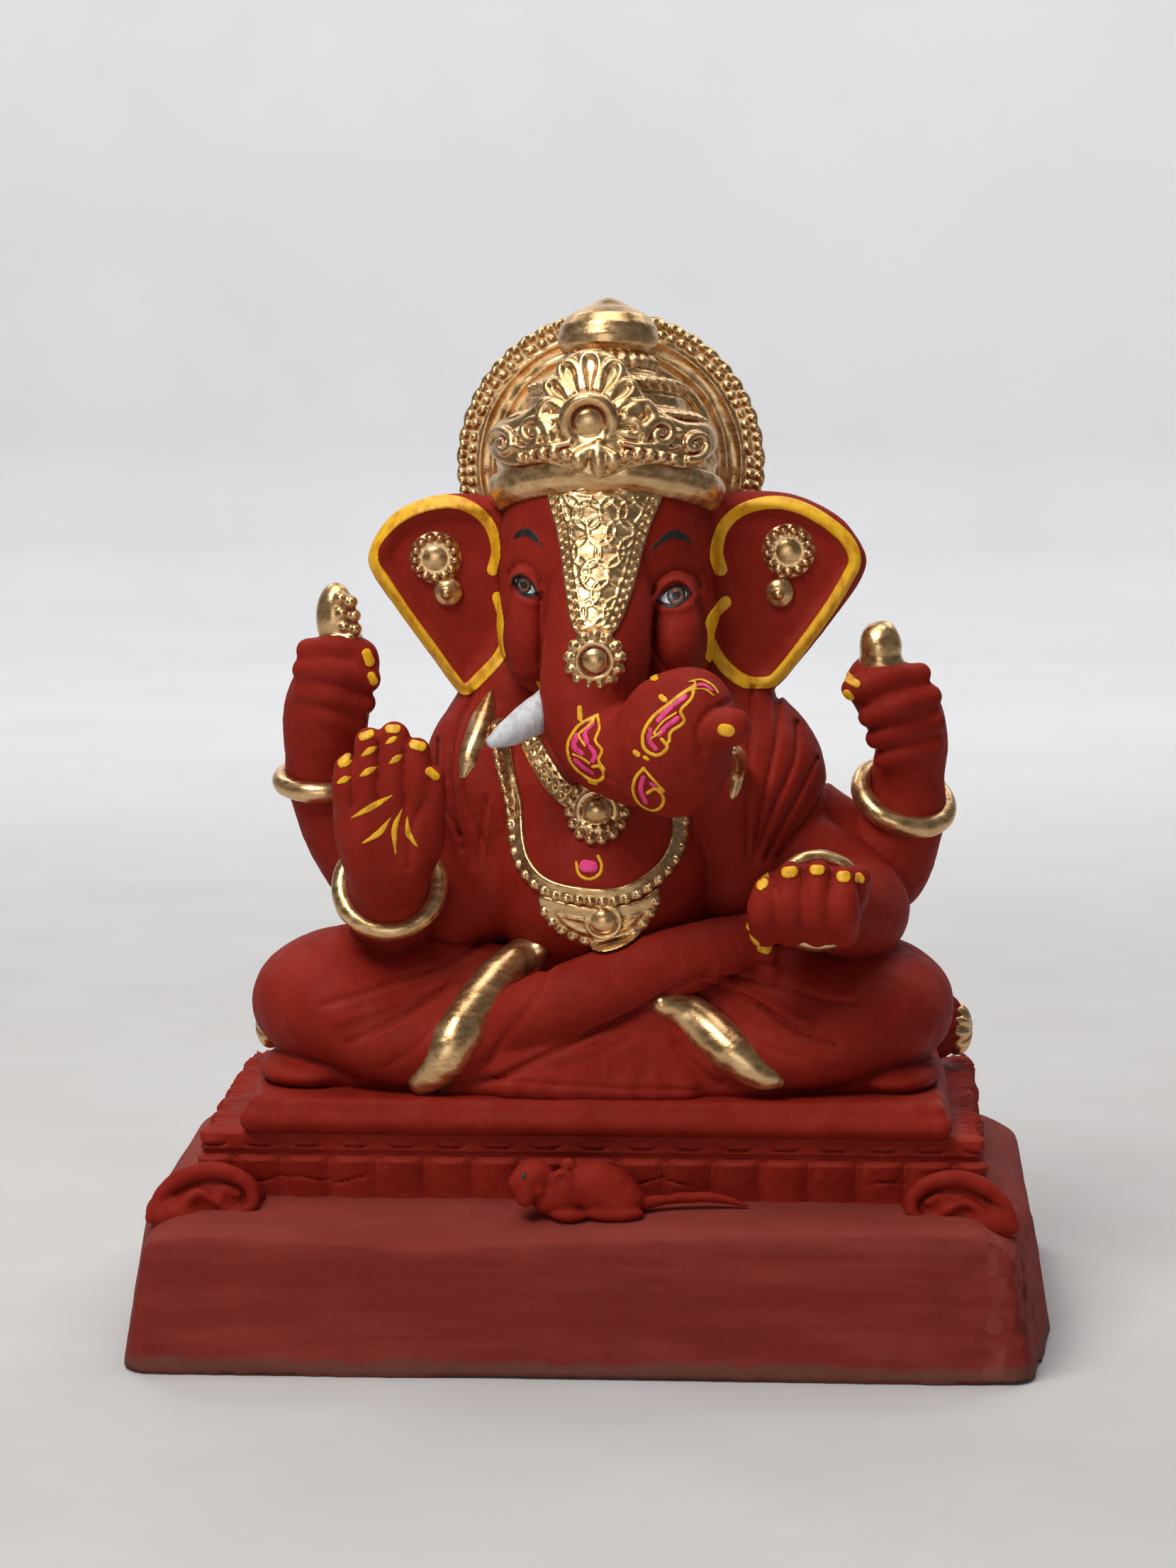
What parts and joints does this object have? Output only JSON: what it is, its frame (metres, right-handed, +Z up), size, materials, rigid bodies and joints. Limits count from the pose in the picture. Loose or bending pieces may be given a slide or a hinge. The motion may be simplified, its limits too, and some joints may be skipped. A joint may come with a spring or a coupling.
{
  "type": "seated elephant-headed idol",
  "caption": "Painted red clay idol of a seated, four-armed, elephant-headed figure with gold jewellery and crown, on a stepped plinth with a mouse.",
  "frame": {"origin": "middle of the rectangle that the plinth's underside fills, on the surface it stands on", "axes": "+Z up, -Y the way the figure faces, +X to the right of someone facing the figure"},
  "size_m": [0.26, 0.165, 0.2886],
  "materials": {
    "red_clay": "matte brick-red paint on air-dried clay",
    "dusty_clay": "matte brick-red paint, dusty and worn, bare clay at the lower edge",
    "gold_paint": "brushed-on metallic gold paint over clay relief",
    "white_paint": "matte white paint on clay"
  },
  "bodies": {
    "root": {"bolster": "red_clay", "bolster_cap_left": "gold_paint", "bolster_cap_right": "gold_paint", "corner_scroll_left": "red_clay", "corner_scroll_right": "red_clay", "crown_band": "gold_paint", "crown_body": "gold_paint", "crown_front": "gold_paint", "crown_kalash": "gold_paint", "crown_neck": "gold_paint", "ear_jewel_left": "gold_paint", "ear_jewel_right": "gold_paint", "emblem_left": "gold_paint", "emblem_right": "gold_paint", "forehead_plate": "gold_paint", "forehead_rosette": "gold_paint", "front_left_arm": "red_clay", "front_left_bangle": "gold_paint", "front_left_hand": "red_clay", "front_right_arm": "red_clay", "front_right_bangle": "gold_paint", "front_right_hand": "red_clay", "halo": "gold_paint", "head": "red_clay", "hem_left": "gold_paint", "hem_right": "gold_paint", "left_ear": "red_clay", "left_foot": "red_clay", "left_leg": "red_clay", "long_necklace": "gold_paint", "lotus_tier": "red_clay", "mouse": "red_clay", "necklace_plate": "gold_paint", "pendant": "gold_paint", "plinth": "dusty_clay", "rear_left_arm": "red_clay", "rear_left_bangle": "gold_paint", "rear_left_hand": "red_clay", "rear_right_arm": "red_clay", "rear_right_bangle": "gold_paint", "rear_right_hand": "red_clay", "right_ear": "red_clay", "right_foot": "red_clay", "right_leg": "red_clay", "seat_cloth": "red_clay", "seat_slab": "red_clay", "shawl_border_left": "gold_paint", "shawl_border_right": "gold_paint", "shawl_left": "red_clay", "shawl_right": "red_clay", "short_necklace": "gold_paint", "torso": "red_clay", "trunk": "red_clay", "tusk_right": "white_paint"}
  },
  "joints": []
}
